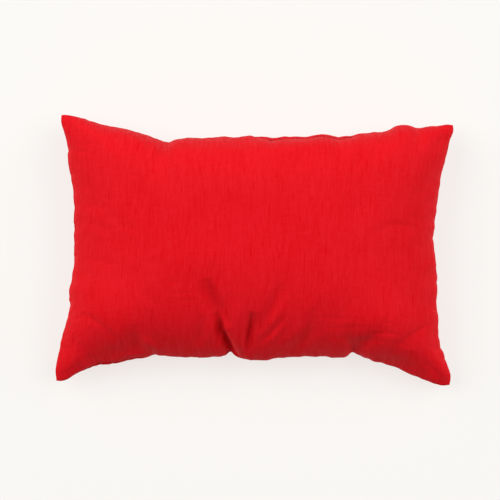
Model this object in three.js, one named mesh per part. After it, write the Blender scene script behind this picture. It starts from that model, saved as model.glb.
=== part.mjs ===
// A filled lumbar pillow that lies on its back: two plain panels of slubbed silk, sewn together all round.
// Millimetres, +Z up. The long side runs along X, and the origin is under the middle of the pillow.
import * as THREE from "three";

// The seam's four corners, where the two panels end in soft points.
const CORNERS = {
  bottomLeft: { x: -298, y: -195.5, z: 42 },
  bottomRight: { x: 292.5, y: -203.5, z: 37 },
  topLeft: { x: -290, y: 204, z: 45 },
  topRight: { x: 298, y: 188.5, z: 40 },
};

// How the filling draws each side in between its corners: how far at the middle, how much higher the seam
// stands there, and a row for each place where it changes course. Along runs left to right, or up.
const SIDES = {
  bottom: {
    from: CORNERS.bottomLeft,
    to: CORNERS.bottomRight,
    inward: 1,
    drawnIn: 40,
    lift: 13,
    course: [
      { along: 8, inset: 0 },
      { along: 15, inset: 1.9 },
      { along: 45, inset: 19 },
      { along: 68, inset: 25.5 },
      { along: 98, inset: 30 },
      { along: 135, inset: 36.2 },
      { along: 150, inset: 41.2 },
      { along: 165, inset: 39.3 },
      { along: 202, inset: 37.4 },
      { along: 240, inset: 38.7 },
      { along: 262, inset: 44.2 },
      { along: 276, inset: 37.4 },
      { along: 308, inset: 34.3 },
      { along: 345, inset: 38.9 },
      { along: 405, inset: 41 },
      { along: 428, inset: 39.6 },
      { along: 445, inset: 46.3 },
      { along: 472, inset: 37.1 },
      { along: 515, inset: 26.2 },
      { along: 532, inset: 17.6 },
      { along: 562, inset: 6.1 },
      { along: 582, inset: -0.6 },
    ],
  },
  top: {
    from: CORNERS.topLeft,
    to: CORNERS.topRight,
    inward: -1,
    drawnIn: 28,
    lift: 11,
    course: [
      { along: 8, inset: 0.2 },
      { along: 30, inset: 4.2 },
      { along: 60, inset: 12.2 },
      { along: 98, inset: 18.6 },
      { along: 130, inset: 26.2 },
      { along: 158, inset: 36.4 },
      { along: 168, inset: 34.6 },
      { along: 182, inset: 30.2 },
      { along: 228, inset: 27.6 },
      { along: 300, inset: 23 },
      { along: 324, inset: 24.2 },
      { along: 345, inset: 21.4 },
      { along: 396, inset: 17.4 },
      { along: 412, inset: 20.6 },
      { along: 450, inset: 15.8 },
      { along: 481, inset: 13.4 },
      { along: 502, inset: 4 },
      { along: 518, inset: 1.9 },
      { along: 540, inset: 5.6 },
      { along: 558, inset: 2 },
      { along: 578, inset: -0.9 },
    ],
  },
  left: {
    from: CORNERS.bottomLeft,
    to: CORNERS.topLeft,
    inward: -1,
    drawnIn: 21,
    lift: 9,
    course: [
      { along: 17, inset: -1 },
      { along: 48, inset: 4 },
      { along: 84, inset: 11.4 },
      { along: 107, inset: 16.7 },
      { along: 137, inset: 16.6 },
      { along: 160, inset: 20.4 },
      { along: 204, inset: 22.8 },
      { along: 264, inset: 21 },
      { along: 294, inset: 19.2 },
      { along: 324, inset: 11.6 },
      { along: 340, inset: 10 },
      { along: 354, inset: 10.4 },
      { along: 377, inset: 3.2 },
      { along: 391, inset: -0.1 },
    ],
  },
  right: {
    from: CORNERS.bottomRight,
    to: CORNERS.topRight,
    inward: 1,
    drawnIn: 25,
    lift: 11,
    course: [
      { along: 10, inset: -1.3 },
      { along: 31, inset: 4.5 },
      { along: 55, inset: 13.2 },
      { along: 76, inset: 18.2 },
      { along: 107, inset: 19.4 },
      { along: 122, inset: 22 },
      { along: 145, inset: 20.6 },
      { along: 182, inset: 22.8 },
      { along: 234, inset: 26.5 },
      { along: 280, inset: 21.8 },
      { along: 318, inset: 16.2 },
      { along: 347, inset: 9.2 },
      { along: 370, inset: 4.4 },
      { along: 384, inset: -0.6 },
    ],
  },
};
const DRAW_POWER = 2.4; // how squarely a side is drawn in
const NOTCH_REACH = 42; // how far into the panel a notch of the seam is felt
const STEPS_PER_ROW = 40; // how finely a side's course is read off between its rows

// The filling: the front's crown above the seam, the back's below it, and how full the profile is.
const FRONT_CROWN = 80;
const BACK_CROWN = 80;
const LENGTHWISE = { square: 2.9, round: 0.57 };
const CROSSWISE = { square: 2.35, round: 0.57 };
const SEAM_THICKNESS = 2.4; // two turned-in edges pressed flat
const BACK_FOLDS = 0.45; // how deep the seam's folds are in the back, as a share of those in the front
const FLOOR_EASE = 7; // height over which the back eases onto what it lies on

// Troughs and ridges of the front, a row for each: its end at the seam, its end in the panel, how far it
// bows to its left, its width to the left and to the right of its line, its depth, less than 0 on a ridge,
// and how far up its line it is deepest.
const FOLDS = {
  mainCrease: { x0: -23, y0: -160, x1: -70, y1: -50, bow: 3.5, left: 14, right: 3, depth: 17, peak: 0.24 },
  creaseEdge: { x0: -18, y0: -156, x1: -50, y1: -84, bow: 2.5, left: 3, right: 7, depth: -3, peak: 0.4 },
  creaseBranch: { x0: -58, y0: -146, x1: -50, y1: -104, bow: -2, left: 6, right: 4, depth: 4, peak: 0.5 },
  secondCrease: { x0: -21, y0: -156, x1: -1, y1: -86, bow: -2, left: 4.5, right: 9, depth: 10, peak: 0.55 },
  lobeBetween: { x0: -27, y0: -150, x1: -27, y1: -75, bow: 0, left: 8, right: 8, depth: -4, peak: 0.5 },
  fanFirstTrough: { x0: 6, y0: -124, x1: 42, y1: -46, bow: -4, left: 8, right: 7, depth: 3.5, peak: 0.5 },
  fanFirstRidge: { x0: 14, y0: -126, x1: 50, y1: -68, bow: -3, left: 8, right: 8, depth: -2, peak: 0.5 },
  fanSecondTrough: { x0: 0, y0: -144, x1: 44, y1: -98, bow: -3, left: 6, right: 6, depth: 3.5, peak: 0.5 },
  fanSecondRidge: { x0: 28, y0: -150, x1: 78, y1: -106, bow: -3, left: 8, right: 7, depth: -2.5, peak: 0.5 },
  fanThirdTrough: { x0: 48, y0: -154, x1: 96, y1: -104, bow: -3, left: 7, right: 10, depth: 4, peak: 0.4 },
  leftDimple: { x0: -92, y0: -142, x1: -79, y1: -96, bow: 0, left: 9, right: 7, depth: 3.5, peak: 0.4 },
  bottomLeftHollow: { x0: -176, y0: -156, x1: -178, y1: -108, bow: 0, left: 16, right: 10, depth: 6, peak: 0.4 },
  bottomLeftRidge: { x0: -136, y0: -154, x1: -172, y1: -130, bow: 0, left: 6, right: 6, depth: -3, peak: 0.5 },
  bottomRightHollow: { x0: 146, y0: -154, x1: 190, y1: -122, bow: 4, left: 10, right: 14, depth: 8, peak: 0.3 },
  bottomRightValley: { x0: 184, y0: -154, x1: 276, y1: -190, bow: 3, left: 16, right: 9, depth: 5, peak: 0.4 },
  topLeftHollow: { x0: -131, y0: 168, x1: -144, y1: 112, bow: 0, left: 12, right: 12, depth: 6, peak: 0.35 },
  topRightHollow: { x0: 246, y0: 184, x1: 242, y1: 146, bow: 0, left: 8, right: 8, depth: 3, peak: 0.4 },
};

// Where the panel's grid lines fall, as shares of its length and of its width: closest at the seam and
// over the pinched stretch of the bottom side.
const COLUMN_BANDS = [
  { upTo: 0.02, cells: 3 },
  { upTo: 0.1, cells: 6 },
  { upTo: 0.34, cells: 13 },
  { upTo: 0.44, cells: 12 },
  { upTo: 0.48, cells: 10 },
  { upTo: 0.66, cells: 22 },
  { upTo: 0.9, cells: 12 },
  { upTo: 0.98, cells: 5 },
  { upTo: 1, cells: 3 },
];
const ROW_BANDS = [
  { upTo: 0.03, cells: 3 },
  { upTo: 0.27, cells: 17 },
  { upTo: 0.87, cells: 18 },
  { upTo: 0.97, cells: 5 },
  { upTo: 1, cells: 3 },
];
// The columns lean to the left over the bottom of the panel, so that one of them follows the main crease.
const LEAN = { column: 0.462, reach: 0.13, shift: 0.086, top: 0.29, fadeOut: 0.75 };

function leaned(u, v) {
  const fade = 1 - THREE.MathUtils.smoothstep(v, LEAN.top, LEAN.fadeOut);
  const lean = v < LEAN.top ? Math.sin((Math.PI / 2) * (v / LEAN.top)) : fade;
  const edge = u * (1 - u) * 4;
  return u - LEAN.shift * lean * edge * Math.exp(-(((u - LEAN.column) / LEAN.reach) ** 2));
}

function gridLines(bands) {
  const lines = [0];
  for (const { upTo, cells } of bands) {
    const start = lines.at(-1);
    for (let n = 1; n <= cells; n++) lines.push(start + ((upTo - start) * n) / cells);
  }
  return lines;
}

// A side's seam as a straight line between its corners, the smooth curve that the filling draws it into,
// and what its notches and bulges add to that curve.
function makeSide({ from, to, inward, drawnIn, lift, course }) {
  const length = Math.hypot(to.x - from.x, to.y - from.y);
  const across = { x: (-inward * (to.y - from.y)) / length, y: (inward * (to.x - from.x)) / length };
  const rows = [{ along: 0, inset: 0 }, ...course, { along: length, inset: 0 }];
  const curve = new THREE.CatmullRomCurve3(
    rows.map(({ along, inset }) => new THREE.Vector3(along, inset, 0)),
    false,
    "centripetal",
  );
  const steps = curve.getPoints(STEPS_PER_ROW * rows.length);
  const insetAt = (along) => {
    const next = Math.max(1, steps.findIndex((step) => step.x >= along));
    const [a, b] = [steps[next - 1], steps[next]];
    return THREE.MathUtils.mapLinear(along, a.x, b.x, a.y, b.y);
  };
  const bulge = (t) => 1 - Math.abs(2 * t - 1) ** DRAW_POWER;
  return {
    across,
    smooth(t) {
      const inset = drawnIn * bulge(t);
      return {
        x: THREE.MathUtils.lerp(from.x, to.x, t) + across.x * inset,
        y: THREE.MathUtils.lerp(from.y, to.y, t) + across.y * inset,
        z: THREE.MathUtils.lerp(from.z, to.z, t) + lift * bulge(t),
      };
    },
    notch: (t) => (t > 0 && t < 1 ? insetAt(t * length) - drawnIn * bulge(t) : 0),
    length,
  };
}

const bottom = makeSide(SIDES.bottom);
const top = makeSide(SIDES.top);
const left = makeSide(SIDES.left);
const right = makeSide(SIDES.right);

// The middle surface, spanned between the four seams: u runs left to right and v bottom to top.
function middlePoint(u, v) {
  const [low, high, west, east] = [bottom.smooth(u), top.smooth(u), left.smooth(v), right.smooth(v)];
  const point = {};
  for (const axis of ["x", "y", "z"]) {
    const corners = THREE.MathUtils.lerp(
      THREE.MathUtils.lerp(CORNERS.bottomLeft[axis], CORNERS.bottomRight[axis], u),
      THREE.MathUtils.lerp(CORNERS.topLeft[axis], CORNERS.topRight[axis], u),
      v,
    );
    const upAndDown = THREE.MathUtils.lerp(low[axis], high[axis], v);
    const sideways = THREE.MathUtils.lerp(west[axis], east[axis], u);
    point[axis] = upAndDown + sideways - corners;
  }
  const felt = [
    [bottom, u, v * left.length],
    [top, u, (1 - v) * left.length],
    [left, v, u * bottom.length],
    [right, v, (1 - u) * bottom.length],
  ];
  for (const [side, along, distance] of felt) {
    const shift = side.notch(along) * Math.exp(-((distance / NOTCH_REACH) ** 2));
    point.x += side.across.x * shift;
    point.y += side.across.y * shift;
  }
  return point;
}

const profile = (t, { square, round }) => (1 - Math.abs(2 * t - 1) ** square) ** round;
const fullness = (u, v) => profile(u, LENGTHWISE) * profile(v, CROSSWISE);

// How deep the folds lie at a place on the front, each fading out towards both of its ends.
function foldDepth(x, y) {
  let total = 0;
  for (const { x0, y0, x1, y1, bow, left, right, depth, peak } of Object.values(FOLDS)) {
    const length = Math.hypot(x1 - x0, y1 - y0);
    const [ax, ay] = [(x1 - x0) / length, (y1 - y0) / length];
    const along = ((x - x0) * ax + (y - y0) * ay) / length;
    if (along <= 0 || along >= 1) continue;
    const toLeft = (y - y0) * ax - (x - x0) * ay - 4 * bow * along * (1 - along);
    const width = toLeft > 0 ? left : right;
    const taper = Math.sin(Math.PI * along ** (Math.log(0.5) / Math.log(peak)));
    total += depth * taper * Math.exp(-((toLeft / width) ** 2));
  }
  return total;
}

// The crown with its folds: a trough never cuts through the middle surface.
function foldedHeight(height, depth) {
  if (height <= 0) return 0;
  return depth > 0 ? height * Math.exp(-depth / height) : height - (depth * height) / (height - depth);
}

// Eases a height onto the surface that the pillow lies on, and holds it there.
function onFloor(z) {
  if (z >= FLOOR_EASE) return z;
  return z <= -FLOOR_EASE ? 0 : (z + FLOOR_EASE) ** 2 / (4 * FLOOR_EASE);
}

function frontPoint(u, v) {
  const { x, y, z } = middlePoint(u, v);
  const height = foldedHeight(FRONT_CROWN * fullness(u, v), foldDepth(x, y));
  return new THREE.Vector3(x, y, z + SEAM_THICKNESS / 2 + height);
}

function backPoint(u, v) {
  const { x, y, z } = middlePoint(u, v);
  const height = foldedHeight(BACK_CROWN * fullness(u, v), BACK_FOLDS * foldDepth(x, y));
  return new THREE.Vector3(x, y, onFloor(z - SEAM_THICKNESS / 2 - height));
}

// One closed skin: the front on every grid line, the back on every second one, and the seam's edge between.
function filledCover() {
  const columns = gridLines(COLUMN_BANDS);
  const rows = gridLines(ROW_BANDS);
  const [lastColumn, lastRow] = [columns.length - 1, rows.length - 1];
  const points = [];
  const triangles = [];
  const known = new Map();
  const vertex = (place, i, j) => {
    const key = `${place.name} ${i} ${j}`;
    if (!known.has(key)) known.set(key, points.push(place(leaned(columns[i], rows[j]), rows[j])) - 1);
    return known.get(key);
  };
  const front = (i, j) => vertex(frontPoint, i, j);
  const back = (i, j) => vertex(backPoint, i, j);

  for (let i = 0; i < lastColumn; i++) {
    for (let j = 0; j < lastRow; j++) {
      const [a, b, c, d] = [front(i, j), front(i + 1, j), front(i + 1, j + 1), front(i, j + 1)];
      triangles.push([a, b, c], [a, c, d]);
    }
  }

  // A cell of the back is a fan about its inner corner, so that it takes up the seam's extra points.
  for (let i = 0; i < lastColumn; i += 2) {
    for (let j = 0; j < lastRow; j += 2) {
      const outline = [[i, j]];
      if (j === 0) outline.push([i + 1, j]);
      outline.push([i + 2, j]);
      if (i + 2 === lastColumn) outline.push([i + 2, j + 1]);
      outline.push([i + 2, j + 2]);
      if (j + 2 === lastRow) outline.push([i + 1, j + 2]);
      outline.push([i, j + 2]);
      if (i === 0) outline.push([i, j + 1]);
      const inner = [i + 2 === lastColumn ? i : i + 2, j + 2 === lastRow ? j : j + 2];
      const first = outline.findIndex(([p, q]) => p === inner[0] && q === inner[1]);
      const fan = [...outline.slice(first), ...outline.slice(0, first)].map(([p, q]) => back(p, q));
      for (let n = 1; n < fan.length - 1; n++) triangles.push([fan[0], fan[n + 1], fan[n]]);
    }
  }

  const rim = [];
  for (let i = 0; i < lastColumn; i++) rim.push([i, 0]);
  for (let j = 0; j < lastRow; j++) rim.push([lastColumn, j]);
  for (let i = lastColumn; i > 0; i--) rim.push([i, lastRow]);
  for (let j = lastRow; j > 0; j--) rim.push([0, j]);
  rim.forEach((here, n) => {
    const next = rim[(n + 1) % rim.length];
    triangles.push([back(...here), back(...next), front(...next)], [back(...here), front(...next), front(...here)]);
  });

  const geometry = new THREE.BufferGeometry().setFromPoints(points);
  geometry.setIndex(triangles.flat());
  geometry.computeBoundingBox();
  const middle = geometry.boundingBox.getCenter(new THREE.Vector3());
  geometry.translate(-middle.x, -middle.y, 0);
  geometry.computeVertexNormals();
  return geometry;
}

const silk = new THREE.MeshStandardMaterial({ color: 0xdf1a22, roughness: 0.62, metalness: 0 });
const cover = new THREE.Mesh(filledCover(), silk);
cover.name = "filled_cover";

const pillow = new THREE.Group();
pillow.name = "lumbar_pillow";
pillow.add(cover);
export default pillow;
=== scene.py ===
"""A filled lumbar pillow in slubbed red silk, lying on its back on a pale studio floor.

Metres, +Z up, the long side along X. Two panels are cut flat, sewn together all round, filled and
settled as cloth. The wrinkles of that are laid on the filled shape with its large folds, then the seam's
puckers and the smaller creases, and at last the opening in the top seam is closed by hand.
"""
import math
from collections import namedtuple

import bmesh
import bpy
import numpy as np
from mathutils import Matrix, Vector, noise


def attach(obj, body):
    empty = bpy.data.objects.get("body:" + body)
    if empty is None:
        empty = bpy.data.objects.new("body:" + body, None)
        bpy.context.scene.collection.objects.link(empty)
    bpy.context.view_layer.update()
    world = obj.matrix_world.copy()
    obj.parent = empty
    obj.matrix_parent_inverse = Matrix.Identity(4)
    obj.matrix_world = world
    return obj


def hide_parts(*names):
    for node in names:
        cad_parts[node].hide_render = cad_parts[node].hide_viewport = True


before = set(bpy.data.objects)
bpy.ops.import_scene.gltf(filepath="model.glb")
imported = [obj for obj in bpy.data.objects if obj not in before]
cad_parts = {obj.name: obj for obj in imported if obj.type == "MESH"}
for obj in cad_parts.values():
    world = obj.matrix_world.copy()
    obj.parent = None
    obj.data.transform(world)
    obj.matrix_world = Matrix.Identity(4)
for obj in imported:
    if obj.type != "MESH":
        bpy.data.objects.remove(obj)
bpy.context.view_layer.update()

MM = 0.001

# Cutting sizes of a panel between its seams, and the number of cells across it
CUT_LENGTH = 610 * MM
CUT_WIDTH = 406 * MM
COLUMNS = 134
ROWS = 90

# The cells are closer together round the large folds, and in the first two rows next to the seam
FOLD_FOCUS = (-25 * MM, -130 * MM)
FOCUS_REACH = 65 * MM
FOCUS_DENSITY = 0.7
FIRST_ROW = 0.5
SECOND_ROW = 0.82
LINE_SAMPLES = 500
COURSE_SAMPLES = 600

# Points of the two edges that are this close together are sewn
SEWN_WITHIN = 0.2 * MM

# The seam's four corners, in millimetres, where the panels end in soft points
CORNERS = {
    "bottom left": (-300.1, -198.4, 36),
    "bottom right": (296.3, -205, 29),
    "top left": (-291.5, 204, 45),
    "top right": (300.3, 189, 40),
}

# How the filling draws each side in, in millimetres: how far at the middle, how much higher the seam stands
# there, how far the cloth beside it swells out past it, and the outline's course, as pairs of the distance
# along and the inset from the line between the corners. In places the cover has rolled, so that the seam
# stands higher, inside the outline, and the back shows past it: rows of the start, the end, how far up and
# how far in. The seed sets the chance waver of the seam.
SIDES = {
    "bottom": {
        "ends": ("bottom left", "bottom right"), "inward": 1, "drawn_in": 40, "lift": 14, "hidden": 2.2,
        "rolled": [(28, 150, 5, 1.8)], "seed": 595,
        "course": [
            (8, 0), (15, 1.9), (30, 11), (45, 19), (57, 24.2), (61, 25), (82, 27.4), (98, 30), (120, 34.8),
            (135, 36.2), (150, 41.2), (157, 39.8), (165, 39.3), (202, 37.4), (240, 38.2), (255, 40.4),
            (264, 46.2), (271, 40.4), (277, 37.4), (292, 34.9), (308, 34.3), (322, 35.3), (345, 38.9),
            (382, 40.6), (405, 41), (428, 39.4), (438, 40.8), (446, 47.4), (458, 42.8), (472, 37.1),
            (495, 31.7), (515, 26.2), (532, 17.6), (548, 11.5), (562, 6.1), (582, -0.6),
        ],
    },
    "top": {
        "ends": ("top left", "top right"), "inward": -1, "drawn_in": 28, "lift": 11, "hidden": 2.7,
        "rolled": [(20, 190, 3, 1), (275, 460, 15, 5.2)], "seed": 592,
        "course": [
            (8, 0.2), (30, 4.2), (60, 12.2), (98, 18.6), (120, 24), (142, 30.4), (158, 36.4), (165, 35.8),
            (172, 32.7), (182, 30.2), (228, 27.6), (240, 25.9), (262, 25.2), (300, 23), (324, 24.2),
            (345, 21.4), (371, 20.6), (396, 17.2), (403, 17.4), (412, 19.6), (435, 17.9), (450, 15.8),
            (465, 14.9), (472, 13.3), (481, 13.4), (490, 11.4), (498, 8.6), (505, 4.2), (518, 1.9),
            (540, 5.6), (558, 3), (570, 2), (584, 0),
        ],
    },
    "left": {
        "ends": ("bottom left", "top left"), "inward": -1, "drawn_in": 21, "lift": 9, "hidden": 2.5,
        "rolled": [(170, 380, 4, 1.2)], "seed": 402,
        "course": [
            (17, -1), (48, 4), (61, 5.7), (84, 11.4), (107, 16.7), (122, 17.4), (137, 16.6), (160, 20.4),
            (204, 22.8), (234, 21.8), (264, 21), (294, 19.2), (309, 15.9), (324, 12.8), (338, 11.4),
            (344, 11.8), (348, 13), (352, 11.6), (369, 7.2), (377, 4.2), (391, 0.2),
        ],
    },
    "right": {
        "ends": ("bottom right", "top right"), "inward": 1, "drawn_in": 25, "lift": 11, "hidden": 2.0,
        "rolled": [], "seed": 393,
        "course": [
            (10, -1.3), (31, 4.5), (46, 9.5), (55, 13.2), (76, 18.2), (100, 18.8), (107, 19.4), (122, 22),
            (145, 20.6), (182, 22.8), (212, 26.1), (234, 26.5), (280, 21.8), (318, 17), (332, 14),
            (347, 10.2), (370, 5.2), (384, 0),
        ],
    },
}

# The power of the curve that a side is drawn into, and how far into the panels its notches reach
DRAW_POWER = 2.4
NOTCH_REACH = 42

# A rolled stretch of the seam: over what length it starts and ends, how far it reaches into the panels, and
# the back's bulge past it, which is so many times as far out as the seam is in, and a little more
ROLL_EASE = 42
ROLL_REACH = 26
BULGE_REACH = 3
BULGE_SHARE = 1.15
BULGE_MORE = 2

# The filling, in millimetres above and below the seam. From the middle out to each side it stands as high
# as (1 - distance ** square) ** round: squarer where it has gathered, sharper where it thins out early.
FRONT_CROWN = 80
BACK_CROWN = 80
FILLED_OUT = {"left": (3.6, 0.6), "right": (3.6, 0.6), "bottom": (2.25, 0.62), "top": (8, 0.58)}

# The cloth's thickness at the seam, and the height over which the back eases onto the floor
SEAM_THICKNESS = 2.4
FLOOR_EASE = 7

# Troughs of the front in millimetres, ridges where the depth is under 0: each line's two ends, how far it
# bows to its left, its width to the left and to the right, its depth, and how far along it is deepest.
Fold = namedtuple("Fold", "x0 y0 x1 y1 bow left right depth peak")
FOLDS = {
    "main crease": Fold(-22, -163, -54, -90, 4, 11, 2.2, 28, 0.3),
    "main pocket": Fold(-23, -162, -50, -104, 3, 5.5, 1.8, 15, 0.35),
    "crease mouth": Fold(-40, -116, -72, -42, 1, 14, 7, 12, 0.5),
    "crease edge": Fold(-16, -156, -50, -86, 4, 3, 8, -5, 0.4),
    "crease branch": Fold(-58, -146, -50, -104, -2, 6, 4, 5, 0.5),
    "branch ridge": Fold(-52, -146, -43, -114, 1, 3.5, 3, -3, 0.45),
    "branch streak": Fold(-60, -132, -54, -102, 0, 3, 2.2, 6, 0.5),
    "small lobe": Fold(-50, -132, -43, -110, 0, 3.5, 3, -5, 0.5),
    "second crease": Fold(-17, -158, -3, -90, 1, 3.5, 12, 16, 0.55),
    "lobe between": Fold(-27, -150, -27, -75, 0, 8, 8, -4, 0.5),
    "fan, first trough": Fold(6, -126, 42, -46, -4, 10, 9, 5.5, 0.5),
    "fan, first ridge": Fold(10, -132, 48, -66, -3, 9, 8, -2, 0.5),
    "fan, second trough": Fold(2, -142, 46, -94, -3, 7, 5, 5.5, 0.5),
    "fan, second ridge": Fold(28, -150, 78, -106, -3, 9, 8, -3, 0.5),
    "fan, third trough": Fold(48, -154, 96, -104, -3, 8, 10, 5, 0.4),
    "left dimple": Fold(-84, -144, -74, -96, 0, 9, 7, 5, 0.4),
    "bottom left hollow": Fold(-176, -156, -178, -108, 0, 16, 10, 7, 0.4),
    "bottom left ridge": Fold(-136, -154, -172, -130, 0, 6, 6, -4, 0.5),
    "bottom left valley": Fold(-164, -140, -268, -184, -4, 10, 15, 7, 0.45),
    "bottom right hollow": Fold(146, -154, 192, -124, 4, 10, 14, 10, 0.3),
    "bottom right valley": Fold(168, -156, 282, -204, 3, 18, 9, 9, 0.45),
    "bottom right ear": Fold(289, -195, 246, -120, 0, 28, 13, -9, 0.4),
    "bottom right fullness": Fold(118, -112, 276, -146, 6, 48, 40, -15, 0.6),
    "bottom left ear": Fold(-294, -190, -240, -104, 0, 13, 30, -7, 0.4),
    "bottom left fullness": Fold(-286, -112, -150, -100, 4, 48, 38, -14, 0.4),
    "top left hollow": Fold(-131, 168, -144, 112, 0, 12, 12, 6, 0.35),
    "top right hollow": Fold(246, 184, 242, 146, 0, 8, 8, 3, 0.4),
}

# The folds' depth on the back, as a share of that on the front
BACK_FOLDS = 0.45

# Smaller creases that only the cloth shows
CREASES = {
    "bottom right corner ridge": Fold(290, -198, 262, -152, -3, 4, 7, -2.2, 0.4),
    "bottom right corner crease": Fold(284, -200, 246, -164, -2, 4, 5, 1.6, 0.4),
    "bottom left corner crease": Fold(-292, -192, -246, -166, 2, 4, 6, 1.4, 0.4),
    "bottom left edge crease": Fold(-284, -178, -262, -112, -3, 5, 4, 1.3, 0.5),
    "top left corner crease": Fold(-286, 196, -250, 162, -2, 4, 5, 1.6, 0.4),
    "top left puff": Fold(-196, 176, -158, 142, 3, 9, 9, -2, 0.5),
    "top right corner crease": Fold(292, 184, 262, 142, 2, 4, 5, 1.5, 0.4),
    "ripple 1": Fold(74, -101, 170, -107, 4, 2.4, 3, 0.4, 0.5),
    "ripple 2": Fold(128, -110, 214, -113, -2, 2.4, 2.8, 0.45, 0.4),
    "ripple 3": Fold(92, -117, 176, -119, 3, 2.4, 3, 0.45, 0.6),
    "ripple 4": Fold(140, -122, 222, -127, 2, 2.6, 2.4, 0.5, 0.5),
    "ripple 5": Fold(104, -128, 190, -131, -2, 2.4, 2.8, 0.45, 0.5),
    "ripple 6": Fold(150, -135, 224, -140, 2, 2.4, 3, 0.5, 0.4),
    "ripple 7": Fold(112, -139, 176, -140, 2, 2.4, 2.6, 0.4, 0.5),
    "left ripple 1": Fold(-148, -48, -92, -52, 2, 2.6, 3, 0.35, 0.5),
    "left ripple 2": Fold(-142, -60, -86, -63, -2, 3, 2.6, 0.4, 0.6),
    "left ripple 3": Fold(-130, -72, -82, -78, 1, 2.6, 3, 0.35, 0.5),
    "left side dent": Fold(-276, 30, -236, 44, 3, 9, 7, 1.4, 0.3),
    "right side dent": Fold(280, -36, 236, -52, -3, 8, 8, 1.6, 0.3),
    "right side upper dent": Fold(286, 76, 244, 70, 3, 7, 8, 1.3, 0.3),
}

# Puckers along the seam: how many on each side, the largest rise of one, and the range of each one's place
# along its side, width and reach in millimetres, lean, share of the largest rise, and share on the back
PUCKERS = {"bottom": 40, "top": 44, "left": 30, "right": 30}
PUCKER_RISE = 1.5 * MM
PUCKER_PLACES = (0.03, 0.97)
PUCKER_WIDTHS = (1.8, 4.5)
PUCKER_REACHES = (3, 11)
PUCKER_LEANS = (-0.5, 0.5)
PUCKER_RISES = (-1, 0.7)
PUCKER_BACKS = (0.3, 1)
PUCKER_SEED = 11

# The seam itself: how the cloth swells on both sides of it, how deep it lies, and its chance waver in
# millimetres, with the length of seam between two changes of it
SEAM_SWELL = {"front": 0.5 * MM, "back": 1.3 * MM}
SEAM_SWELL_REACH = 4 * MM
SEAM_GROOVE = 0.7 * MM
SEAM_WAVER = 0.45
SEAM_WAVER_STEP = 8

# The soft lumps of the filling, which end this far from the seam
LUMP_RISE = 1.0 * MM
LUMP_SIZE = 75 * MM
LUMP_EASE = 30 * MM

# The opening in the top seam that is closed by hand: its ends and the places of its stitches, in
# millimetres along the cut cloth from its middle
OPENING = (8, 152)
OPENING_EASE = 12 * MM
STITCH_PLACES = (21, 27, 34, 40, 55, 61, 67, 88, 94, 100, 111, 117, 133, 138, 143)

# How far in from the seam a stitch takes hold of the two panels, how far to the side it leans there in
# millimetres, and the pit at each of its ends
STITCH_HOLD = 3.3 * MM
STITCH_HOLDS = (0.8, 1.4)
STITCH_SLANTS = (0.3, 1.2)
STITCH_PIT = 2.4 * MM
PIT_RADIUS = 2.4 * MM
PIT_DEPTHS = (0.6, 1)
OPENING_REACH = 8 * STITCH_HOLD

# The thread lies on the cloth and dives into it at both ends: its height and its dive in thread radii, the
# points along it, how many points of the cloth around it each one is laid on, and how evenly these share it
THREAD_RADIUS = 0.4 * MM
THREAD_HEIGHT = 1.4
THREAD_DIVE = 3
THREAD_POINTS = 11
LAID_ON = 4
LAID_EVENLY = 0.2 * MM

# The gathers of the cloth along the opening: their width, rise as a share of the largest, and reach
GATHERS = 26
GATHER_RISE = 1.8 * MM
GATHER_WIDTHS = (1, 2.2)
GATHER_RISES = (-1, 0.6)
GATHER_REACHES = (2, 4)

# Painted shade in the seam: how much darker the cloth is painted there, as a share of the colour in the
# stitch pits. It is uneven along the seam, weaker on the right half, and reaches further over the back. The
# closed opening's seam gets its own painted shade.
SEAM_SHADE = 0.75
SEAM_SHADE_SEED = 5
SEAM_SHADE_KNOTS = 160
SEAM_SHADE_MEAN = 0.6
SEAM_SHADE_SPREAD = 0.35
SEAM_SHADE_LEAST = 0.1
SEAM_SHADE_RIGHT = 0.45
SEAM_SHADE_FADE = (0.25 * CUT_LENGTH, 0.5 * CUT_LENGTH)
SEAM_SHADE_REACH = {"front": 0.9 * MM, "back": 2.4 * MM}
OPENING_SHADE = 0.8
OPENING_SHADE_REACH = 1.3 * MM

# Settling the cloth: it is let out a little, so that the filling's pressure has slack to wrinkle
SETTLE_FRAMES = 24
SETTLE = {
    "quality": 5,
    "mass": 0.006,
    "tension_stiffness": 60,
    "compression_stiffness": 60,
    "shear_stiffness": 10,
    "bending_stiffness": 0.4,
    "tension_damping": 0.5,
    "compression_damping": 0.5,
    "shear_damping": 0.5,
    "bending_damping": 0.1,
    "air_damping": 0.5,
    "shrink_min": -0.03,
    "use_pressure": True,
    "uniform_pressure_force": 16,
}

# What is kept of that movement: its broad part, which so many rounds of smoothing leave, is taken out, the
# rest is capped, and the cloth keeps one share of it at the seam and another further in
WRINKLE_CAP = 6 * MM
BROAD_ROUNDS = 160
WRINKLE_SHARE = {"front": (0.1, 0.5), "back": (0.12, 0.8)}
WRINKLE_EASE = 60 * MM


# Seam and crown

def lerp(a, b, t):
    return a + (b - a) * t


def smoothstep(x, low, high):
    t = np.clip((x - low) / (high - low), 0, 1)
    return t * t * (3 - 2 * t)


def swell(distance, reach):
    return distance / reach * np.exp(1 - distance / reach)


def smooth_course(rows, length):
    """Distances and insets along a side, read off a smooth curve through its course."""
    points = np.array([(0, 0), *rows, (length, 0)], float)
    along = np.linspace(0, length, COURSE_SAMPLES)
    slope = np.gradient(points[:, 1], points[:, 0])
    at = np.clip(np.searchsorted(points[:, 0], along) - 1, 0, len(points) - 2)
    step = points[at + 1, 0] - points[at, 0]
    t = (along - points[at, 0]) / step
    a, b = points[at, 1], points[at + 1, 1]
    inset = (
        a * (1 + 2 * t) * (1 - t) ** 2 + slope[at] * step * t * (1 - t) ** 2
        + b * (3 - 2 * t) * t ** 2 + slope[at + 1] * step * t ** 2 * (t - 1)
    )
    return along, inset


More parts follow.
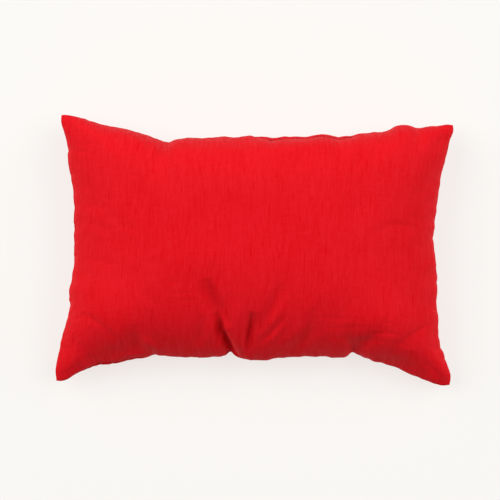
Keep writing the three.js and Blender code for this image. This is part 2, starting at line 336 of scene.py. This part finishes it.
class Side:
    """One side of the seam: the curve it is drawn into, with its notches, waver and rolled stretches."""

    def __init__(self, ends, inward, drawn_in, lift, hidden, rolled, course, seed):
        self.start, self.end = (np.array(CORNERS[name], float) for name in ends)
        run = self.end - self.start
        self.length = math.hypot(run[0], run[1])
        self.across = np.array((-inward * run[1], inward * run[0], 0)) / self.length
        self.drawn_in, self.lift, self.hidden, self.rolled = drawn_in, lift, hidden, rolled
        self.along, self.inset = smooth_course(course, self.length)
        random = np.random.default_rng(seed)
        knots = int(self.length / SEAM_WAVER_STEP)
        self.knots = np.linspace(0, 1, knots)
        self.waver = random.normal(0, SEAM_WAVER, (knots, 2))

    def bulge(self, t):
        return 1 - np.abs(2 * t - 1) ** DRAW_POWER

    def smooth(self, t):
        rise = np.array((0, 0, self.lift)) + self.across * self.drawn_in
        return lerp(self.start, self.end, t[..., None]) + rise * self.bulge(t)[..., None]

    def notch(self, t):
        inset = np.interp(t * self.length, self.along, self.inset)
        return inset - (self.drawn_in - self.hidden) * self.bulge(t)

    def ripple(self, t):
        """The seam's small unevenness, sideways and up, as the stitching has taken it in."""
        sideways, up = (np.interp(t, self.knots, self.waver[:, n]) for n in (0, 1))
        return self.across * sideways[..., None] + np.array((0, 0, 1)) * up[..., None]

    def roll(self, t):
        """How far up, and how far in from the outline, the seam has rolled."""
        along, up, inward = t * self.length, 0 * t, 0 * t
        for start, end, rise, shift in self.rolled:
            share = smoothstep(along, start, start + ROLL_EASE) * smoothstep(end - along, 0, ROLL_EASE)
            up, inward = up + rise * share, inward + shift * share
        return up, inward


side = {name: Side(**values) for name, values in SIDES.items()}


def places_by_side(u, v):
    """Each side with how far along it and how far in from it a place is, in millimetres."""
    return (
        (side["bottom"], u, v * side["left"].length),
        (side["top"], u, (1 - v) * side["left"].length),
        (side["left"], v, u * side["bottom"].length),
        (side["right"], v, (1 - u) * side["bottom"].length),
    )


def middle_surface(u, v):
    """The surface spanned between the four seams, u from left to right and v from bottom to top."""
    low, high = side["bottom"].smooth(u), side["top"].smooth(u)
    west, east = side["left"].smooth(v), side["right"].smooth(v)
    across, up = u[..., None], v[..., None]
    corner = {name: np.array(place, float) for name, place in CORNERS.items()}
    flat = lerp(
        lerp(corner["bottom left"], corner["bottom right"], across),
        lerp(corner["top left"], corner["top right"], across),
        up,
    )
    point = lerp(low, high, up) + lerp(west, east, across) - flat
    for edge, along, distance in places_by_side(u, v):
        shift = edge.notch(along) * np.exp(-((distance / NOTCH_REACH) ** 2))
        point = point + shift[..., None] * edge.across
        near = np.exp(-((distance / SEAM_WAVER_STEP) ** 2)) * np.sqrt(edge.bulge(along))
        point = point + near[..., None] * edge.ripple(along)
        higher, inward = edge.roll(along)
        rolled = inward[..., None] * edge.across + higher[..., None] * np.array((0, 0, 1))
        point = point + rolled * np.exp(-((distance / ROLL_REACH) ** 2))[..., None]
    return point


def bulge_past_seam(u, v):
    """How far the back stands out past the seam, down from where the seam has rolled up and in."""
    shift = np.zeros((*np.shape(u), 3))
    for edge, along, distance in places_by_side(u, v):
        inward = edge.roll(along)[1]
        size = BULGE_SHARE * inward + BULGE_MORE * np.minimum(inward, 1)
        shift -= (size * swell(distance, BULGE_REACH))[..., None] * edge.across
    return shift


def profile(t, low_side, high_side):
    """How high the filling stands from one side to the other, as a share of its height in the middle."""
    low_square, low_round = FILLED_OUT[low_side]
    high_square, high_round = FILLED_OUT[high_side]
    out = np.abs(2 * t - 1)
    low = np.maximum(1 - out ** low_square, 0) ** low_round
    high = np.maximum(1 - out ** high_square, 0) ** high_round
    return np.where(t < 0.5, low, high)


def fold_depth(x, y, folds):
    """How deep the folds lie at places on a panel, each one fading out towards both of its ends."""
    total = np.zeros_like(x)
    for fold in folds.values():
        length = math.hypot(fold.x1 - fold.x0, fold.y1 - fold.y0)
        ax, ay = (fold.x1 - fold.x0) / length, (fold.y1 - fold.y0) / length
        along = np.clip(((x - fold.x0) * ax + (y - fold.y0) * ay) / length, 0, 1)
        to_left = (y - fold.y0) * ax - (x - fold.x0) * ay - 4 * fold.bow * along * (1 - along)
        width = np.where(to_left > 0, fold.left, fold.right)
        taper = np.sin(math.pi * along ** (math.log(0.5) / math.log(fold.peak)))
        total += fold.depth * taper * np.exp(-((to_left / width) ** 2))
    return total


def folded_height(height, depth):
    """A crown's height with its folds, none of which cuts through the middle surface."""
    high = np.maximum(height, 1e-6)
    trough = high * np.exp(-np.maximum(depth, 0) / high)
    ridge = -np.minimum(depth, 0) * high / (high - np.minimum(depth, 0))
    return trough + ridge


def seam_thickness(u, v):
    """The cloth's own thickness next to the seam, in millimetres."""
    edge = np.minimum(np.minimum(u, 1 - u) * CUT_LENGTH, np.minimum(v, 1 - v) * CUT_WIDTH) / MM
    return SEAM_THICKNESS / 2 * (1 - np.exp(-edge / SEAM_THICKNESS))


def panel_surface(u, v, face, folded=False):
    """A filled panel, in millimetres: face is 1 for the front and -1 for the back."""
    point = middle_surface(u, v)
    crown = FRONT_CROWN if face > 0 else BACK_CROWN
    height = crown * profile(u, "left", "right") * profile(v, "bottom", "top")
    if folded:
        share = 1 if face > 0 else BACK_FOLDS
        height = folded_height(height, share * fold_depth(point[..., 0], point[..., 1], FOLDS))
        height = height + seam_thickness(u, v)
    point[..., 2] += face * height
    if face < 0:
        point = point + bulge_past_seam(u, v)
        low = point[..., 2]
        eased = (low + FLOOR_EASE) ** 2 / (4 * FLOOR_EASE)
        point[..., 2] = np.where(low >= FLOOR_EASE, low, np.where(low <= -FLOOR_EASE, 0, eased))
    return point


def cut_lines(cells, size, focus):
    """Places of the cell lines across a cut panel: closer together at the folds and next to the seam."""
    place = np.linspace(0, size, LINE_SAMPLES)
    density = 1 + FOCUS_DENSITY * np.exp(-(((place - size / 2 - focus) / FOCUS_REACH) ** 2))
    run = np.cumsum(density) - density[0]
    lines = np.interp(np.linspace(0, 1, cells + 1), run / run[-1], place)
    lines[1], lines[2] = FIRST_ROW * lines[1], SECOND_ROW * lines[2]
    lines[-2], lines[-3] = size - lines[1], size - lines[2]
    return lines


def spread_evenly(u, v, face, rounds=12):
    """Moves the grid's lines until the cloth between them is about as long as it was cut."""
    for _ in range(rounds):
        for lines, size, values, axis in ((COLUMN_LINES, CUT_LENGTH, u, 0), (ROW_LINES, CUT_WIDTH, v, 1)):
            point = panel_surface(u, v, face)
            gaps = np.linalg.norm(np.diff(point, axis=axis), axis=-1)
            run = np.insert(np.cumsum(gaps, axis=axis), 0, 0, axis=axis)
            for n in range(values.shape[1 - axis]):
                pick = (slice(None), n) if axis == 0 else (n, slice(None))
                values[pick] = np.interp(lines / size, run[pick] / run[pick][-1], values[pick])
    return u, v


COLUMN_LINES = cut_lines(COLUMNS, CUT_LENGTH, FOLD_FOCUS[0])
ROW_LINES = cut_lines(ROWS, CUT_WIDTH, FOLD_FOCUS[1])


# Cutting and sewing

def get_points(mesh):
    points = np.empty(len(mesh.vertices) * 3)
    mesh.vertices.foreach_get("co", points)
    return points.reshape(-1, 3)


def set_points(mesh, points):
    mesh.vertices.foreach_set("co", np.ascontiguousarray(points, float).ravel())
    mesh.update()


def get_normals(mesh):
    normals = np.empty(len(mesh.vertices) * 3)
    mesh.vertex_normals.foreach_get("vector", normals)
    return normals.reshape(-1, 3)


def get_values(mesh, name):
    values = np.empty(len(mesh.vertices))
    mesh.attributes[name].data.foreach_get("value", values)
    return values


def set_values(mesh, name, values):
    layer = mesh.attributes.new(name, "FLOAT", "POINT")
    layer.data.foreach_set("value", np.asarray(values, float))


def pick_only(piece):
    bpy.ops.object.select_all(action="DESELECT")
    piece.select_set(True)
    bpy.context.view_layer.objects.active = piece


def add_panel(name, face):
    """A panel cut flat and then filled out, with its place in the cut cloth kept as attributes."""
    bpy.ops.object.select_all(action="DESELECT")
    bpy.ops.mesh.primitive_grid_add(x_subdivisions=COLUMNS, y_subdivisions=ROWS, size=1, calc_uvs=True)
    panel = bpy.context.object
    panel.name = panel.data.name = name
    panel.data.uv_layers[0].name = "threads"
    square = get_points(panel.data)
    column = np.rint((square[:, 0] + 0.5) * COLUMNS).astype(int)
    row = np.rint((square[:, 1] + 0.5) * ROWS).astype(int)
    u, v = np.meshgrid(COLUMN_LINES / CUT_LENGTH, ROW_LINES / CUT_WIDTH, indexing="ij")
    u, v = spread_evenly(u, v, face)
    seam = (column == 0) | (column == COLUMNS) | (row == 0) | (row == ROWS)
    kept = {
        "cut_x": COLUMN_LINES[column], "cut_y": ROW_LINES[row], "u": u[column, row], "v": v[column, row],
        "seam": seam, "face": np.full(len(seam), face),
    }
    for value_name, values in kept.items():
        set_values(panel.data, value_name, values)
    set_points(panel.data, (panel_surface(u, v, face, folded=True) * MM)[column, row])
    return panel


def sew_panels(front, back):
    """Turns the back over and joins the two panels where their edges meet."""
    pick_only(back)
    bpy.ops.object.mode_set(mode="EDIT")
    bpy.ops.mesh.select_all(action="SELECT")
    bpy.ops.mesh.flip_normals()
    bpy.ops.object.mode_set(mode="OBJECT")
    front.select_set(True)
    bpy.context.view_layer.objects.active = front
    bpy.ops.object.join()
    mesh = bmesh.new()
    mesh.from_mesh(front.data)
    layer = mesh.verts.layers.float["seam"]
    edge = [vertex for vertex in mesh.verts if vertex[layer] > 0.5]
    bmesh.ops.remove_doubles(mesh, verts=edge, dist=SEWN_WITHIN)
    mesh.to_mesh(front.data)
    mesh.free()
    return front


def smooth_over(mesh, values, rounds, held):
    """Evens values out between neighbours, with the held points kept."""
    edges = np.empty(len(mesh.edges) * 2, int)
    mesh.edges.foreach_get("vertices", edges)
    a, b = edges.reshape(-1, 2).T
    count = np.bincount(a, minlength=len(values)) + np.bincount(b, minlength=len(values))
    kept = values[held].copy()
    for _ in range(rounds):
        total = np.column_stack([
            np.bincount(a, values[b, axis], len(values)) + np.bincount(b, values[a, axis], len(values))
            for axis in range(3)
        ])
        values = 0.5 * values + 0.5 * total / count[:, None]
        values[held] = kept
    return values


def settle(pillow):
    """How the sewn cloth moves as it settles under the filling's pressure."""
    mesh = pillow.data
    start = get_points(mesh)
    seam = get_values(mesh, "seam") > 0.5
    pick_only(pillow)
    group = pillow.vertex_groups.new(name="seam")
    group.add([int(n) for n in np.flatnonzero(seam)], 1, "REPLACE")
    cloth = pillow.modifiers.new("Cloth", "CLOTH")
    settings = cloth.settings
    for name, value in SETTLE.items():
        setattr(settings, name, value)
    settings.vertex_group_mass = "seam"
    settings.effector_weights.gravity = 0
    cloth.collision_settings.use_collision = False
    cloth.collision_settings.use_self_collision = False
    cloth.point_cache.frame_start = 1
    cloth.point_cache.frame_end = SETTLE_FRAMES
    scene = bpy.context.scene
    for number in range(1, SETTLE_FRAMES + 1):
        scene.frame_set(number)
    shown = pillow.evaluated_get(bpy.context.evaluated_depsgraph_get())
    moved = get_points(shown.data) - start
    pillow.modifiers.remove(cloth)
    pillow.vertex_groups.clear()
    scene.frame_set(1)
    return moved


def wrinkle(pillow):
    """Keeps the wrinkles of the settled cloth as a movement, and leaves its broad swelling out."""
    mesh = pillow.data
    seam = get_values(mesh, "seam") > 0.5
    moved = settle(pillow)
    fine = moved - smooth_over(mesh, moved.copy(), BROAD_ROUNDS, seam)
    size = np.linalg.norm(fine, axis=1, keepdims=True)
    fine *= WRINKLE_CAP * np.tanh(size / WRINKLE_CAP) / np.maximum(size, 1e-9)
    front = get_values(mesh, "face") > 0
    inside = smoothstep(distance_to_seam(mesh), 0, WRINKLE_EASE)
    share = {side_name: lerp(*ends, inside) for side_name, ends in WRINKLE_SHARE.items()}
    fine *= np.where(front, share["front"], share["back"])[:, None]
    for axis in range(3):
        set_values(mesh, f"wrinkle_{axis}", fine[:, axis])


def cut_corner_cells(mesh):
    """Parts each corner cell through its corner, so that the front and the back stay apart there."""
    cells = bmesh.new()
    cells.from_mesh(mesh)
    layer = cells.verts.layers.float["face"]
    for cell in list(cells.faces):
        around = list(cell.verts)
        inside = [n for n, vertex in enumerate(around) if vertex[layer] != 0]
        if len(inside) == 1:
            bmesh.ops.connect_verts(cells, verts=[around[inside[0]], around[inside[0] - 2]])
    cells.to_mesh(mesh)
    cells.free()


def refine(pillow):
    """Halves the cells, shapes the pillow afresh on the finer mesh, and lays the wrinkles on it."""
    mesh = bmesh.new()
    mesh.from_mesh(pillow.data)
    seam, face = (mesh.verts.layers.float[name] for name in ("seam", "face"))
    for vertex in mesh.verts:
        if vertex[seam] > 0.5:
            vertex[face] = 0
    mesh.to_mesh(pillow.data)
    mesh.free()
    pick_only(pillow)
    finer = pillow.modifiers.new("finer", "SUBSURF")
    finer.subdivision_type = "SIMPLE"
    finer.levels = finer.render_levels = 1
    bpy.ops.object.modifier_apply(modifier="finer")
    mesh = pillow.data
    cut_corner_cells(mesh)
    u, v, face = (get_values(mesh, name) for name in ("u", "v", "face"))
    on_seam = face == 0
    front, back = (panel_surface(u, v, side_face, folded=True) * MM for side_face in (1, -1))
    points = np.where(face[:, None] > 0, front, back)
    fine = np.column_stack([get_values(mesh, f"wrinkle_{axis}") for axis in range(3)])
    fine[on_seam] = 0
    points += smooth_over(mesh, fine, 2, on_seam)
    level = middle_surface(u, v)[:, 2] * MM
    gap = seam_thickness(u, v) * MM
    high = np.maximum(points[:, 2], level + gap)
    low = np.minimum(points[:, 2], np.maximum(level - gap, 0))
    points[:, 2] = np.where(face > 0, high, np.where(face < 0, low, points[:, 2]))
    set_points(mesh, points)
    threads = mesh.uv_layers["threads"].data
    corner = np.empty(len(mesh.loops), int)
    mesh.loops.foreach_get("vertex_index", corner)
    cut = np.column_stack((get_values(mesh, "cut_x"), get_values(mesh, "cut_y")))
    threads.foreach_set("uv", cut[corner].ravel())


def distance_to_seam(mesh):
    x, y = get_values(mesh, "cut_x"), get_values(mesh, "cut_y")
    return np.minimum(np.minimum(x, CUT_LENGTH - x), np.minimum(y, CUT_WIDTH - y))


def pucker_seam(pillow):
    """Small uneven puckers where the stitching takes the cloth up, on both panels."""
    mesh = pillow.data
    x, y, face = (get_values(mesh, name) for name in ("cut_x", "cut_y", "face"))
    sides = {
        "bottom": (x, y, CUT_LENGTH), "top": (x, CUT_WIDTH - y, CUT_LENGTH),
        "left": (y, x, CUT_WIDTH), "right": (y, CUT_LENGTH - x, CUT_WIDTH),
    }
    random = np.random.default_rng(PUCKER_SEED)
    swelling = np.where(face > 0, SEAM_SWELL["front"], SEAM_SWELL["back"])
    rise = swelling * swell(distance_to_seam(mesh), SEAM_SWELL_REACH)
    for name, (along, inward, length) in sides.items():
        for _ in range(PUCKERS[name]):
            place = random.uniform(*PUCKER_PLACES) * length
            width = random.uniform(*PUCKER_WIDTHS) * MM
            reach = random.uniform(*PUCKER_REACHES) * MM
            lean = random.uniform(*PUCKER_LEANS)
            height = random.uniform(*PUCKER_RISES) * PUCKER_RISE
            on_back = random.uniform(*PUCKER_BACKS)
            line = np.exp(-(((along - place - lean * inward) / width) ** 2))
            rise += height * line * swell(inward, reach) * np.where(face > 0, 1, on_back)
    normals = get_normals(mesh)
    rise -= SEAM_GROOVE * (face == 0)
    set_points(mesh, get_points(mesh) + rise[:, None] * normals)


def lay_in_creases(pillow):
    """Presses the smaller creases in along the cloth's own normals, with the filling's soft lumps."""
    mesh = pillow.data
    points, normals = get_points(mesh), get_normals(mesh)
    front = get_values(mesh, "face") > 0
    depth = fold_depth(points[:, 0] / MM, points[:, 1] / MM, CREASES) * MM
    lumps = np.array([noise.noise(Vector(point) / LUMP_SIZE) for point in points]) * LUMP_RISE
    ease = smoothstep(distance_to_seam(mesh), 0, LUMP_EASE)
    set_points(mesh, points + (lumps * ease - np.where(front, depth, 0))[:, None] * normals)


def rest_on_floor(pillow):
    """Holds the underside on the surface that the pillow lies on."""
    points = get_points(pillow.data)
    points[:, 2] = np.maximum(points[:, 2], 0)
    set_points(pillow.data, points)


def seam_shade(mesh):
    """The painted shade of the seam: a dark line, uneven along it, and strongest on the left."""
    random = np.random.default_rng(SEAM_SHADE_SEED)
    place = np.linspace(0, 1, SEAM_SHADE_KNOTS)
    uneven = random.normal(SEAM_SHADE_MEAN, SEAM_SHADE_SPREAD, (2, len(place)))
    uneven = np.clip(uneven, SEAM_SHADE_LEAST, 1)
    x, y = get_values(mesh, "cut_x"), get_values(mesh, "cut_y")
    along = np.interp(x / CUT_LENGTH, place, uneven[0]) * np.interp(y / CUT_WIDTH, place, uneven[1])
    to_left = lerp(1, SEAM_SHADE_RIGHT, smoothstep(x, *SEAM_SHADE_FADE))
    on_back = get_values(mesh, "face") < 0
    reach = np.where(on_back, SEAM_SHADE_REACH["back"], SEAM_SHADE_REACH["front"])
    return SEAM_SHADE * np.sqrt(along) * to_left * np.exp(-((distance_to_seam(mesh) / reach) ** 2))


def gather_cloth(random, along, inward):
    """How far the cloth's gathers stand out along the opening."""
    low, high = (end * MM for end in OPENING)
    rise = np.zeros(len(along))
    for _ in range(GATHERS):
        place, width = random.uniform(low, high), random.uniform(*GATHER_WIDTHS) * MM
        height, reach = random.uniform(*GATHER_RISES) * GATHER_RISE, random.uniform(*GATHER_REACHES) * MM
        rise += height * np.exp(-(((along - place) / width) ** 2)) * swell(inward, reach)
    return rise


def place_stitches(random, along, across):
    """Each stitch's place, slant and hold, and how deep the cloth lies in the pits at their ends, which
    also sets the painted shade in them.
    """
    pit_and_painted_shade = np.zeros(len(along))
    stitches = []
    for place in STITCH_PLACES:
        slant = random.uniform(*STITCH_SLANTS) * MM
        hold = STITCH_HOLD * random.uniform(*STITCH_HOLDS)
        stitches.append((place * MM, slant, hold))
        for end in (1, -1):
            off = np.hypot(along - place * MM - end * slant, across - end * hold)
            pit_and_painted_shade = np.maximum(pit_and_painted_shade, random.uniform(*PIT_DEPTHS) * np.exp(-((off / PIT_RADIUS) ** 2)))
    return stitches, pit_and_painted_shade


def lay_threads(stitches, along, across, points, normals):
    """The stitches as short threads on the cloth from the front over the seam to the back."""
    curve = bpy.data.curves.new("closing_stitches", "CURVE")
    curve.dimensions = "3D"
    curve.bevel_depth = THREAD_RADIUS
    curve.bevel_resolution = 2
    curve.use_fill_caps = True
    for place, slant, hold in stitches:
        spline = curve.splines.new("POLY")
        spline.points.add(THREAD_POINTS - 1)
        for point, step in zip(spline.points, np.linspace(1, -1, THREAD_POINTS)):
            off = np.hypot(along - place - slant * step, across - hold * step)
            nearest = np.argsort(off)[:LAID_ON]
            weight = 1 / (off[nearest, None] + LAID_EVENLY) ** 2
            height = THREAD_RADIUS * (THREAD_HEIGHT - THREAD_DIVE * step ** 6)
            on_cloth = ((points[nearest] + height * normals[nearest]) * weight).sum(axis=0) / weight.sum()
            point.co = (*on_cloth, 1)
    thread = bpy.data.objects.new("closing_stitches", curve)
    bpy.context.collection.objects.link(thread)
    pick_only(thread)
    bpy.ops.object.convert(target="MESH")
    bpy.ops.object.shade_smooth()
    return bpy.context.object


def close_opening(pillow):
    """Hand stitches over the top seam, each sunk into a small pit at both of its ends, with painted shade
    in the pits and along the closed seam.
    """
    mesh = pillow.data
    from_top = CUT_WIDTH - get_values(mesh, "cut_y")
    near = np.flatnonzero(from_top < OPENING_REACH)
    along = get_values(mesh, "cut_x")[near] - CUT_LENGTH / 2
    inward = from_top[near]
    across = inward * get_values(mesh, "face")[near]
    random = np.random.default_rng(PUCKER_SEED)
    low, high = (end * MM for end in OPENING)
    opened = smoothstep(along, low, low + OPENING_EASE) * smoothstep(high - along, 0, OPENING_EASE)
    gather = gather_cloth(random, along, inward)
    stitches, pit_and_painted_shade = place_stitches(random, along, across)
    points, normals = get_points(mesh), get_normals(mesh)
    points[near] += (gather * opened - STITCH_PIT * pit_and_painted_shade)[:, None] * normals[near]
    set_points(mesh, points)
    # Painted shade: the seam's dark line, the stitch pits and the closed opening's seam darken the silk's
    # colour through this attribute
    shade = seam_shade(mesh)
    between = OPENING_SHADE * opened * np.exp(-((inward / OPENING_SHADE_REACH) ** 2))
    shade[near] = np.maximum(shade[near], np.maximum(pit_and_painted_shade, between))
    set_values(mesh, "pit_and_painted_shade", shade)
    return lay_threads(stitches, along, across, get_points(mesh)[near], get_normals(mesh)[near])


# Materials

class Nodes:
    """Adds nodes to a material and joins them up."""

    def __init__(self, name):
        self.material = bpy.data.materials.new(name)
        self.material.use_nodes = True
        self.tree = self.material.node_tree
        self.shader = self.tree.nodes["Principled BSDF"]

    def add(self, kind, inputs=None, **settings):
        node = self.tree.nodes.new("ShaderNode" + kind)
        for name, value in settings.items():
            setattr(node, name, value)
        for name, value in (inputs or {}).items():
            self.put(node.inputs[name], value)
        return node

    def put(self, socket, value):
        if isinstance(value, bpy.types.NodeSocket):
            self.tree.links.new(value, socket)
        else:
            socket.default_value = value

    def shade(self, **values):
        for name, value in values.items():
            self.put(self.shader.inputs[name.replace("_", " ")], value)

    def noise(self, vector, scale, detail, rough):
        """Noise from 0 to 1, stretched by the cells per metre each way."""
        place = self.add("Mapping", {"Vector": vector, "Scale": (*scale, 1)})
        node = self.add(
            "TexNoise",
            {"Vector": place.outputs["Vector"], "Scale": 1, "Detail": detail, "Roughness": rough},
            noise_dimensions="2D",
        )
        return node.outputs["Fac"]

    def along_threads(self, vector, pitch):
        """Places on the cloth that are the same all the way across one thread."""
        place = self.add("SeparateXYZ", {"Vector": vector})
        middle = self.math("SNAP", place.outputs["X"], pitch)
        return self.add("CombineXYZ", {"X": middle, "Y": place.outputs["Y"]}).outputs["Vector"]

    def limit(self, value, low, high, to_low=0.0, to_high=1.0):
        node = self.add(
            "MapRange",
            {"Value": value, "From Min": low, "From Max": high, "To Min": to_low, "To Max": to_high},
            interpolation_type="SMOOTHSTEP",
        )
        return node.outputs["Result"]

    def math(self, operation, a, b):
        node = self.add("Math", operation=operation)
        self.put(node.inputs[0], a)
        self.put(node.inputs[1], b)
        return node.outputs["Value"]

    def blend(self, amount, first, second):
        node = self.add("Mix", data_type="RGBA")
        self.put(node.inputs["Factor"], amount)
        self.put(node.inputs["A"], first)
        self.put(node.inputs["B"], second)
        return node.outputs["Result"]


RED = (0.785, 0.0110, 0.0200, 1)
DEEP_RED = (0.675, 0.0003, 0.0028, 1)
# The painted shade: the dark red that the cloth is painted towards in the stitch pits and along the seam,
# and how far at most
PAINTED_SHADE_RED = (0.22, 0.0004, 0.002, 1)
PAINTED_SHADE_SHARE = 0.85
SHEEN_RED = (1, 0.3, 0.34, 1)
SEWING_REDS = ((0.34, 0.002, 0.006, 1), (0.6, 0.006, 0.014, 1))

# The threads' spacing, and the scale at which Blender's wave texture has one wave a metre
THREAD_PITCH = 0.45 * MM
ONE_WAVE = 0.314

# The thin dark dashes, each inside threads of one spacing: that spacing, the noise's cells per metre
# across and along the threads, and the share of the deep red. Then the broader and cloudier changes of
# colour: their cells, detail, roughness, lower limit and share. Last come the few strong slubs, and the
# thick places that raise the cloth.
DASHES = (
    (1.7 * MM, (2871, 30), 0.20),
    (1.2 * MM, (3367, 80), 0.18),
    (2.3 * MM, (2129, 8), 0.10),
)
CLOUDS = (
    ((36, 420), 2, 0.6, 0.35, 0.13),
    ((11, 8), 3, 0.5, 0.3, 0.10),
)
SLUB_CELLS = (260, 28)
SLUB_LIMITS = (0.62, 0.72)
SLUB_SHARE = 0.3
THICK_CELLS = (300, 24)
NOISE_LOW = 0.3
NOISE_HIGH = 0.7


def make_silk():
    """Silk with slubs: thick places in the threads across the pillow, and a few in those along it."""
    nodes = Nodes("slubbed_silk")
    threads = nodes.add("UVMap", uv_map="threads").outputs["UV"]
    layers = []
    for pitch, cells, share in DASHES:
        dashes = nodes.noise(nodes.along_threads(threads, pitch), cells, 1, 0.5)
        layers.append((nodes.limit(dashes, NOISE_LOW, NOISE_HIGH), share))
    for cells, detail, rough, low, share in CLOUDS:
        layers.append((nodes.limit(nodes.noise(threads, cells, detail, rough), low, NOISE_HIGH), share))
    slubs = nodes.limit(nodes.noise(threads, SLUB_CELLS, 3, 0.5), *SLUB_LIMITS)
    dark = nodes.math("MULTIPLY", slubs, SLUB_SHARE)
    for layer, share in layers:
        dark = nodes.math("ADD", dark, nodes.math("MULTIPLY", layer, share))
    cloth = nodes.blend(nodes.math("MINIMUM", dark, 1.0), RED, DEEP_RED)
    # Painted shade: the silk's colour is darkened in the stitch pits and along the seam by the attribute
    # that close_opening leaves
    pit_and_painted_shade = nodes.add("Attribute", attribute_name="pit_and_painted_shade").outputs["Fac"]
    colour = nodes.blend(nodes.math("MULTIPLY", pit_and_painted_shade, PAINTED_SHADE_SHARE), cloth, PAINTED_SHADE_RED)
    long_dashes, crosswise = layers[0][0], layers[3][0]
    rough = nodes.limit(long_dashes, 0, 1, 0.58, 0.7)

    waves = {"Vector": threads, "Scale": ONE_WAVE / THREAD_PITCH, "Distortion": 0.6, "Detail": 1}
    across, along = (
        nodes.add("TexWave", waves, wave_type="BANDS", bands_direction=direction).outputs["Fac"]
        for direction in ("X", "Y")
    )
    thicker = nodes.limit(nodes.noise(threads, THICK_CELLS, 2, 0.5), NOISE_LOW, NOISE_HIGH)
    thick = nodes.math("ADD", nodes.math("MULTIPLY", thicker, 0.6), nodes.math("MULTIPLY", crosswise, 0.5))
    raised = nodes.add("Bump", {"Height": thick, "Strength": 0.5, "Distance": 0.3 * MM})
    weave = nodes.math("MAXIMUM", across, along)
    woven = nodes.add("Bump", {"Height": weave, "Strength": 0.35, "Distance": 0.08 * MM})
    nodes.put(woven.inputs["Normal"], raised.outputs["Normal"])
    nodes.shade(
        Base_Color=colour, Roughness=rough, Normal=woven.outputs["Normal"], Specular_IOR_Level=0.03,
        Sheen_Weight=0.05, Sheen_Roughness=0.4, Sheen_Tint=SHEEN_RED,
    )
    return nodes.material


def make_thread():
    """Twisted sewing thread, a little darker than the silk."""
    nodes = Nodes("sewing_thread")
    place = nodes.add("TexCoord").outputs["Object"]
    strand = nodes.add("TexNoise", {"Vector": place, "Scale": 1800, "Detail": 2}).outputs["Fac"]
    twist = nodes.add("Bump", {"Height": strand, "Strength": 0.6, "Distance": 0.1 * MM})
    nodes.shade(
        Base_Color=nodes.blend(strand, *SEWING_REDS),
        Roughness=0.55, Normal=twist.outputs["Normal"], Specular_IOR_Level=0.2,
    )
    return nodes.material


# Studio

# Metres from the pillow's middle, metres across, and watts
LIGHTS = {
    "left_light": {"place": (-3.35, 1.6, 3.75), "size": 4.6, "power": 228},
    "right_light": {"place": (3.35, 1.6, 3.75), "size": 4.6, "power": 200},
}
SKY = (1, 0.99, 0.97, 1)
SKY_STRENGTH = 0.155

# The floor's own light, which is painted light: dimmer under the pillow as a painted shadow, within half
# sizes that stay inside its outline, and also dimmer as painted shade towards the front of the floor,
# between two places along Y where it falls off
FLOOR = (0.215, 0.206, 0.198, 1)
FLOOR_LIGHT = (1, 0.99, 0.965, 1)
FLOOR_SIZE = 24
FLOOR_GLOW = 0.735
SHADED_GLOW = 0.42
SHADED = (272 * MM, 146 * MM)
SHADED_START = 0.2
FAR_GLOW = 0.78
FALL_OFF = (-1.8, -0.35)


def add_studio():
    """A pale floor with painted light coming up through it, as on a light table, dimmer under the pillow as
    a painted shadow and towards the front as painted shade, under two large soft lamps.
    """
    bpy.ops.object.select_all(action="DESELECT")
    bpy.ops.mesh.primitive_plane_add(size=FLOOR_SIZE, location=(0, 0, 0))
    floor = bpy.context.object
    floor.name = "studio_floor"
    pale = Nodes("pale_floor")
    place = pale.add("SeparateXYZ", {"Vector": pale.add("TexCoord").outputs["Object"]})
    # Painted shadow: the floor's glow is dimmer under the pillow, and dimmer as painted shade towards the
    # front
    reach = [
        pale.math("POWER", pale.math("ABSOLUTE", pale.math("DIVIDE", place.outputs[axis], half), 0), 3.0)
        for axis, half in (("X", SHADED[0]), ("Y", SHADED[1]))
    ]
    near = pale.limit(pale.math("ADD", *reach), SHADED_START, 1, SHADED_GLOW, FLOOR_GLOW)
    far = pale.limit(place.outputs["Y"], FALL_OFF[0], FALL_OFF[1], FAR_GLOW, 1)
    glow = pale.math("MULTIPLY", near, far)
    pale.shade(
        Base_Color=FLOOR, Roughness=0.9, Specular_IOR_Level=0.1,
        Emission_Color=FLOOR_LIGHT, Emission_Strength=glow,
    )
    floor.data.materials.append(pale.material)
    world = bpy.data.worlds.new("studio_world")
    bpy.context.scene.world = world
    world.use_nodes = True
    sky = world.node_tree.nodes["Background"]
    sky.inputs["Color"].default_value = SKY
    sky.inputs["Strength"].default_value = SKY_STRENGTH
    for name, light in LIGHTS.items():
        add_area_light(name, **light)
    bpy.context.scene.view_settings.view_transform = "Standard"


def add_area_light(name, place, size, power):
    bpy.ops.object.light_add(type="AREA", location=place)
    light = bpy.context.object
    light.name = name
    light.data.size = size
    light.data.energy = power
    light.rotation_euler = (-Vector(place)).to_track_quat("-Z", "Y").to_euler()


# The camera looks straight down from this far above the seam, where the picture is this wide
SEAM_LEVEL = 60 * MM
VIEW_DISTANCE = 3.0
VIEW_WIDTH = 750 * MM
VIEW_OFFSET = -6.75 * MM
SENSOR_WIDTH = 36


def add_camera():
    bpy.ops.object.camera_add(location=(VIEW_OFFSET, 0, SEAM_LEVEL + VIEW_DISTANCE), rotation=(0, 0, 0))
    camera = bpy.context.object
    camera.data.sensor_width = SENSOR_WIDTH
    camera.data.lens = SENSOR_WIDTH * VIEW_DISTANCE / VIEW_WIDTH
    bpy.context.scene.camera = camera


def make_pillow():
    pillow = sew_panels(add_panel("pillow", 1), add_panel("back_panel", -1))
    wrinkle(pillow)
    refine(pillow)
    pucker_seam(pillow)
    lay_in_creases(pillow)
    stitches = close_opening(pillow)
    rest_on_floor(pillow)
    pillow.data.materials.append(make_silk())
    stitches.data.materials.append(make_thread())
    pick_only(pillow)
    bpy.ops.object.shade_smooth()
    return pillow, stitches


pillow, stitches = make_pillow()
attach(pillow, "root")
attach(stitches, "root")
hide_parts("filled_cover")
add_studio()
add_camera()
